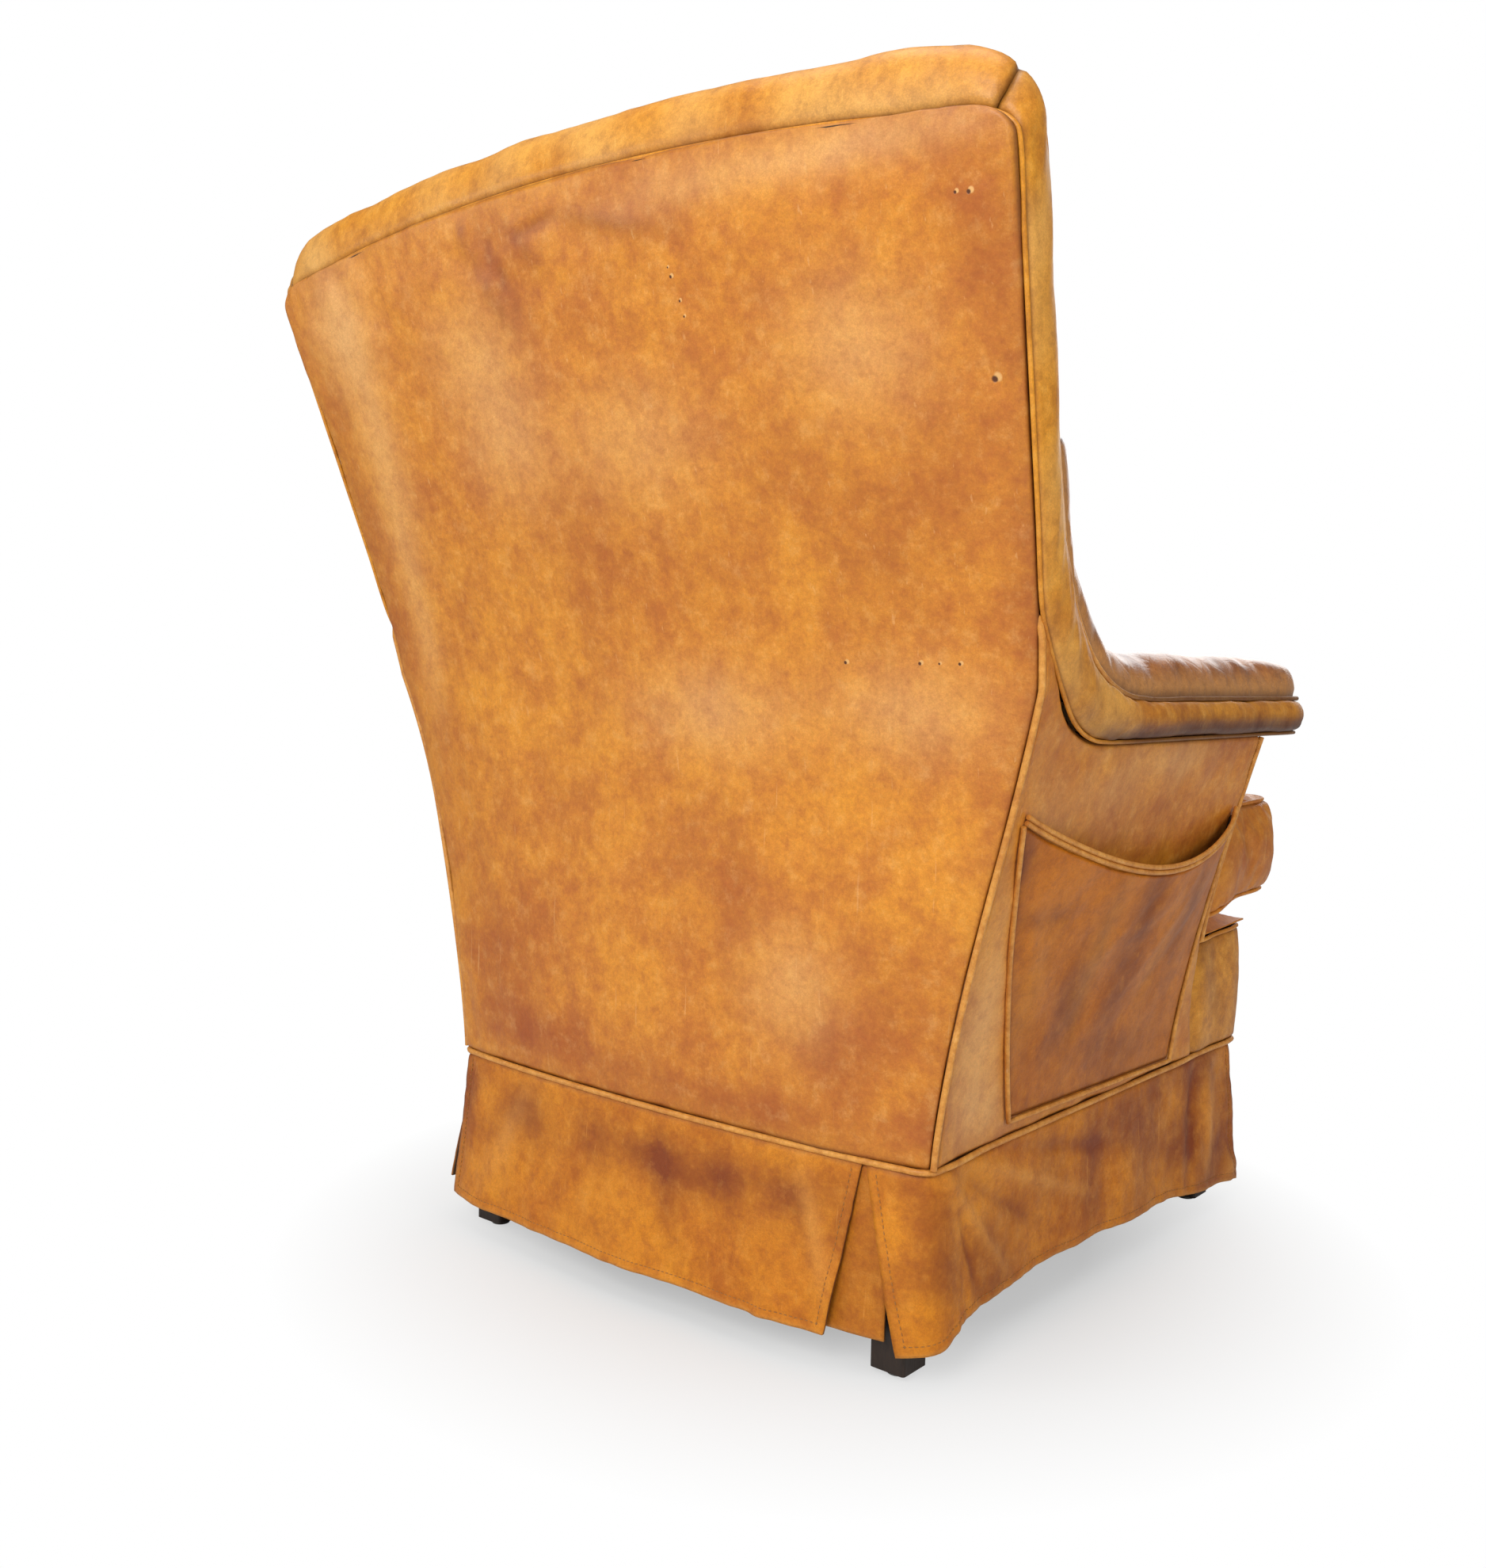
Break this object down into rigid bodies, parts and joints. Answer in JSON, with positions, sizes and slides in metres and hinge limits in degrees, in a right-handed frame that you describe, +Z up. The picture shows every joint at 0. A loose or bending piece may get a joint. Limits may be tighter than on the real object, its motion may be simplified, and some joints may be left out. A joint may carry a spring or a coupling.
{
  "type": "club chair",
  "caption": "High-backed club chair in patinated tan leather with piped borders, rounded arms, loose T-shaped seat cushion, side magazine pocket and kick-pleat skirt.",
  "frame": {"origin": "on the floor, under the middle of the chair's width and depth", "axes": "+Z up, -Y the way the sitter faces, +X the sitter's left"},
  "size_m": [0.8782, 0.8767, 1.0692],
  "materials": {
    "leather": "satin, waxed and patinated",
    "worn_leather": "darkened and polished by hands",
    "piping_leather": "satin, paler than the panels",
    "leg_wood": "dark stain, satin",
    "frame_wood": "raw beech",
    "steel": "zinc plated",
    "webbing": "woven jute",
    "lining": "black non-woven lining"
  },
  "bodies": {
    "chair": {"rear_left_leg": "leg_wood", "rear_right_leg": "leg_wood", "front_left_leg": "leg_wood", "front_right_leg": "leg_wood", "leg_glides": "steel", "leg_bolts": "steel", "front_seat_rail": "frame_wood", "rear_seat_rail": "frame_wood", "left_seat_rail": "frame_wood", "right_seat_rail": "frame_wood", "corner_blocks": "frame_wood", "block_screws": "steel", "left_back_post": "frame_wood", "right_back_post": "frame_wood", "top_rail": "frame_wood", "lumbar_rail": "frame_wood", "left_arm_post": "frame_wood", "right_arm_post": "frame_wood", "left_arm_board": "frame_wood", "right_arm_board": "frame_wood", "frame_dowels": "frame_wood", "seat_springs": "steel", "back_webbing": "webbing", "deck_pad": "leather", "outside_back_cover": "leather", "left_border": "leather", "right_border": "leather", "top_border": "leather", "rear_seam_welt": "piping_leather", "front_welt": "piping_leather", "head_pad": "leather", "lumbar_pad": "leather", "left_arm_pad": "worn_leather", "right_arm_pad": "worn_leather", "left_inside_arm": "leather", "right_inside_arm": "leather", "left_outside_arm": "leather", "right_outside_arm": "leather", "left_arm_facing": "leather", "right_arm_facing": "leather", "corner_welts": "piping_leather", "magazine_pocket": "worn_leather", "pocket_piping": "piping_leather", "front_seat_border": "leather", "seat_border_welt": "piping_leather", "base_welt": "piping_leather", "back_skirt": "leather", "left_skirt": "leather", "right_skirt": "leather", "front_skirt": "leather", "corner_pleats": "leather", "dust_cover": "lining"},
    "cushion": {"seat_cushion": "leather", "cushion_welts": "piping_leather", "cushion_zip": "steel"}
  },
  "joints": [
    {"name": "cushion_slide", "type": "slide", "parent": "chair", "child": "cushion", "axis": [0, -0.999, 0.0436], "range_m": [0, 0.6]}
  ]
}
